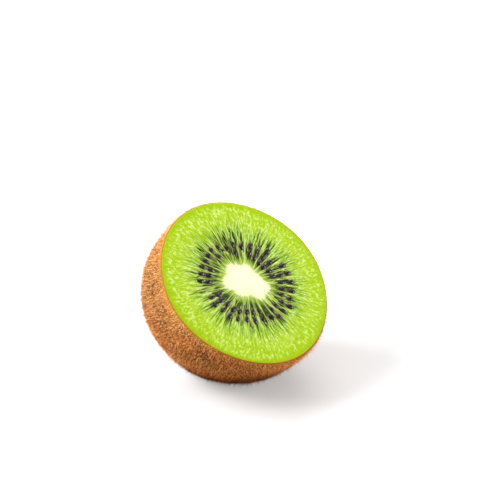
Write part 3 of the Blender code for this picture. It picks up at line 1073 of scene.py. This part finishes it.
class KiwiSizes(bpy.types.PropertyGroup):
    """Sizes of the fine detail."""

    relief: length_setting("Flesh relief", "Height of the fine grains on the cut face", 0.00007, 0.0, 0.0003)
    down_length: length_setting("Down length", "Length of the short dense hairs", 0.00055, 0.0001, 0.002)
    bristle_length: length_setting("Bristle length", "Length of the longer hairs", 0.00135, 0.0001, 0.003)
    hair_thickness: length_setting(
        "Hair thickness", "Half width of a hair at its root", 0.000070, 0.00001, 0.0002)
    hairs: IntProperty(
        name="Hairs", description="Number of short hairs", default=42000, min=100, max=47000)
    bristles: IntProperty(
        name="Bristles", description="Number of longer hairs", default=8500, min=100, max=19000)
    view_distance: length_setting("View distance", "From the camera to the cut face", 0.45, 0.2, 2.0)


# Operators

class KIWI_OT_flesh(bpy.types.Operator):
    """Build the green flesh with its cut face"""

    bl_idname = "kiwi.flesh"
    bl_label = "Flesh"

    def execute(self, context):
        """Builds the piece."""
        mesh = flesh_mesh(context.scene.kiwi_sizes.relief)
        add_piece("flesh_cut", mesh, flesh_material(), "flesh")
        return {"FINISHED"}


class KIWI_OT_core(bpy.types.Operator):
    """Build the pale core"""

    bl_idname = "kiwi.core"
    bl_label = "Core"

    def execute(self, context):
        """Builds the piece."""
        mesh = core_mesh(context.scene.kiwi_sizes.relief)
        add_piece("core_cut", mesh, core_material(), "core")
        return {"FINISHED"}


class KIWI_OT_seeds(bpy.types.Operator):
    """Set the seeds in their chambers"""

    bl_idname = "kiwi.seeds"
    bl_label = "Seeds"

    def execute(self, context):
        """Builds the piece."""
        finish = seed_material()
        add_piece("seeds", seeds_mesh(finish), finish, "flesh")
        return {"FINISHED"}


class KIWI_OT_skin(bpy.types.Operator):
    """Build the thin brown skin and the scar at its round end"""

    bl_idname = "kiwi.skin"
    bl_label = "Skin"

    def execute(self, context):
        """Builds the pieces."""
        add_piece("skin_shell", skin_mesh(), skin_material(), "flesh")
        add_piece("end_scar", scar_mesh(), scar_material(), "flesh")
        return {"FINISHED"}


class KIWI_OT_down(bpy.types.Operator):
    """Grow the down on the skin, in a short layer and a longer one"""

    bl_idname = "kiwi.down"
    bl_label = "Down"

    def execute(self, context):
        """Builds the pieces."""
        sizes = context.scene.kiwi_sizes
        ground = skin_surface()
        area = sum(face.area for face in ground.polygons)
        axis = FRUIT_PLACE.to_3x3() @ Vector((0.0, 0.0, -1.0))
        finish = down_material()
        tree = down_tree()
        for name, hairs, length, segments, seed, lean in (
            ("down_short", sizes.hairs, sizes.down_length, 1, 3, 0.1),
            ("down_long", sizes.bristles, sizes.bristle_length, 2, 8, 0.0),
        ):
            mesh = grown(name, ground.copy(), tree, {
                "Density": hairs / area,
                "Length": length,
                "Thickness": sizes.hair_thickness,
                "Segments": segments,
                "Lean": axis * lean,
                "Spread": HAIR_SPREAD,
                "Seed": seed,
                "Finish": finish,
            })
            add_piece(name, mesh, finish, "flesh")
        return {"FINISHED"}


class KIWI_OT_stage(bpy.types.Operator):
    """Set the floor, the lights and the camera"""

    bl_idname = "kiwi.stage"
    bl_label = "Stage"

    def execute(self, context):
        """Builds the stage."""
        make_floor()
        make_lights()
        make_camera(context.scene.kiwi_sizes.view_distance)
        return {"FINISHED"}


class KIWI_PT_builder(bpy.types.Panel):
    """Lists the steps that build the fruit half"""

    bl_label = "Kiwi fruit half"
    bl_idname = "KIWI_PT_builder"
    bl_space_type = "VIEW_3D"
    bl_region_type = "UI"
    bl_category = "Kiwi"

    def draw(self, context):
        """Draws the settings and the buttons."""
        for group in (context.scene.kiwi_sizes, context.scene.kiwi_colours):
            for key in group.bl_rna.properties.keys():
                if key not in ("name", "rna_type"):
                    self.layout.prop(group, key)
        for step in STEPS:
            self.layout.operator(step.bl_idname)


# Stage

def make_floor():
    """A plain pale floor."""
    half = FLOOR_HALF_WIDTH
    mesh = bpy.data.meshes.new("floor")
    corners = [(-half, -half, 0.0), (half, -half, 0.0), (half, half, 0.0), (-half, half, 0.0)]
    mesh.from_pydata(corners, [], [(0, 1, 2, 3)])
    material, _, _ = new_material("pale_floor", {
        "Base Color": FLOOR_GREY,
        "Emission Color": FLOOR_GLOW,
        "Emission Strength": FLOOR_GLOW_STRENGTH,
        "Roughness": 0.6,
        "Specular IOR Level": 0.1,
    })
    mesh.materials.append(material)
    new_object("floor", mesh)


def soft_light(name, offset, size, power):
    """A square studio light aimed at the fruit from an offset in metres."""
    data = bpy.data.lights.new(name, "AREA")
    data.shape = "SQUARE"
    data.size = size
    data.energy = power
    light = new_object(name, data)
    target = Vector(LIGHT_TARGET)
    light.location = target + Vector(offset)
    light.rotation_mode = "QUATERNION"
    light.rotation_quaternion = (target - light.location).to_track_quat("-Z", "Y")


def make_lights():
    """Soft lights, the strongest at the camera's left, and an even pale surround."""
    world = bpy.data.worlds.new("surround")
    world.use_nodes = True
    background = world.node_tree.nodes["Background"]
    background.inputs[0].default_value = (1.0, 1.0, 1.0, 1.0)
    background.inputs[1].default_value = SURROUND
    bpy.context.scene.world = world
    for light in LIGHTS:
        soft_light(*light)
    view = bpy.context.scene.view_settings
    view.view_transform = "Standard"
    view.look = "None"


def make_camera(distance):
    """A camera that sees the cut face where and as large as the photograph does."""
    back = Vector((
        math.sin(VIEW_AZIMUTH) * math.cos(VIEW_ELEVATION),
        -math.cos(VIEW_AZIMUTH) * math.cos(VIEW_ELEVATION),
        math.sin(VIEW_ELEVATION),
    ))
    turn = (-back).to_track_quat("-Z", "Y")
    right = turn @ Vector((1.0, 0.0, 0.0))
    up = turn @ Vector((0.0, 1.0, 0.0))
    metres_per_pixel = CUT_HALF_WIDTH / CUT_HALF_WIDTH_PIXELS
    off_right = (CUT_PIXEL[0] - IMAGE_PIXELS / 2.0) * metres_per_pixel
    off_up = (IMAGE_PIXELS / 2.0 - CUT_PIXEL[1]) * metres_per_pixel
    data = bpy.data.cameras.new("camera")
    data.sensor_width = SENSOR_WIDTH
    data.lens = SENSOR_WIDTH * distance / (metres_per_pixel * IMAGE_PIXELS)
    data.clip_start = 0.01
    data.clip_end = 20.0
    camera = new_object("camera", data)
    camera.rotation_mode = "QUATERNION"
    camera.rotation_quaternion = turn
    camera.location = CUT_MIDDLE + back * distance - right * off_right - up * off_up
    bpy.context.scene.camera = camera


STEPS = (KIWI_OT_flesh, KIWI_OT_core, KIWI_OT_seeds, KIWI_OT_skin, KIWI_OT_down, KIWI_OT_stage)
CLASSES = (KiwiColours, KiwiSizes, *STEPS, KIWI_PT_builder)


def register():
    """Registers the classes and the scene's settings."""
    for item in CLASSES:
        bpy.utils.register_class(item)
    bpy.types.Scene.kiwi_colours = PointerProperty(type=KiwiColours)
    bpy.types.Scene.kiwi_sizes = PointerProperty(type=KiwiSizes)


def unregister():
    """Removes the scene's settings and the classes."""
    del bpy.types.Scene.kiwi_sizes
    del bpy.types.Scene.kiwi_colours
    for item in reversed(CLASSES):
        bpy.utils.unregister_class(item)


def main():
    """Builds every piece, then the stage."""
    register()
    bpy.ops.kiwi.flesh()
    bpy.ops.kiwi.core()
    bpy.ops.kiwi.seeds()
    bpy.ops.kiwi.skin()
    bpy.ops.kiwi.down()
    bpy.ops.kiwi.stage()


if __name__ == "__main__":
    main()
